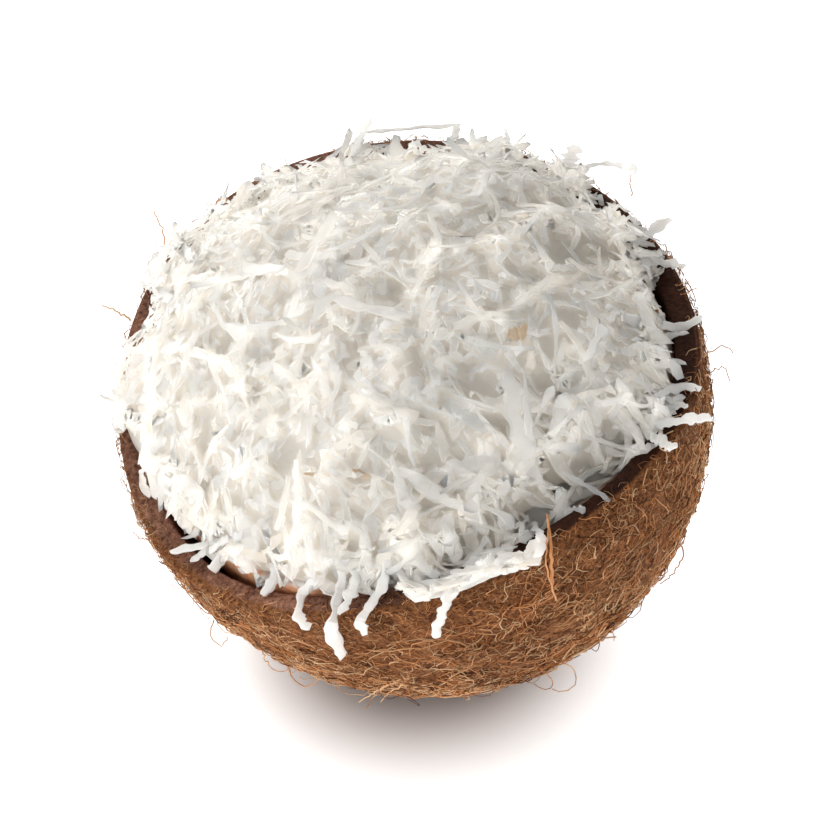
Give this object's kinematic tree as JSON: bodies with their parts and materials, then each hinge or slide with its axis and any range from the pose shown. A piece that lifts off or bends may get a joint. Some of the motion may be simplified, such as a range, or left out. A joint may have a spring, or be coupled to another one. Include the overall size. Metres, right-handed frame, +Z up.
{
  "type": "half coconut shell filled with shredded coconut",
  "caption": "Half of a hairy coconut shell lined with white flesh, leaning on a flat spot and heaped with loose shredded coconut strips.",
  "frame": {"origin": "centre of the flat spot on the shell's round bottom, on the surface it rests on", "axes": "+Z up; the opening leans towards -X and -Y, with the front of the picture at -Y"},
  "size_m": [0.1148, 0.129, 0.0943],
  "materials": {
    "shell": "matted brown fibre outside, sawn dark edge",
    "flesh": "moist white flesh with a brown skin outside",
    "shreds": "moist white strips, slightly translucent"
  },
  "bodies": {
    "root": {"shell": "shell", "flesh": "flesh", "shreds": "shreds"}
  },
  "joints": []
}
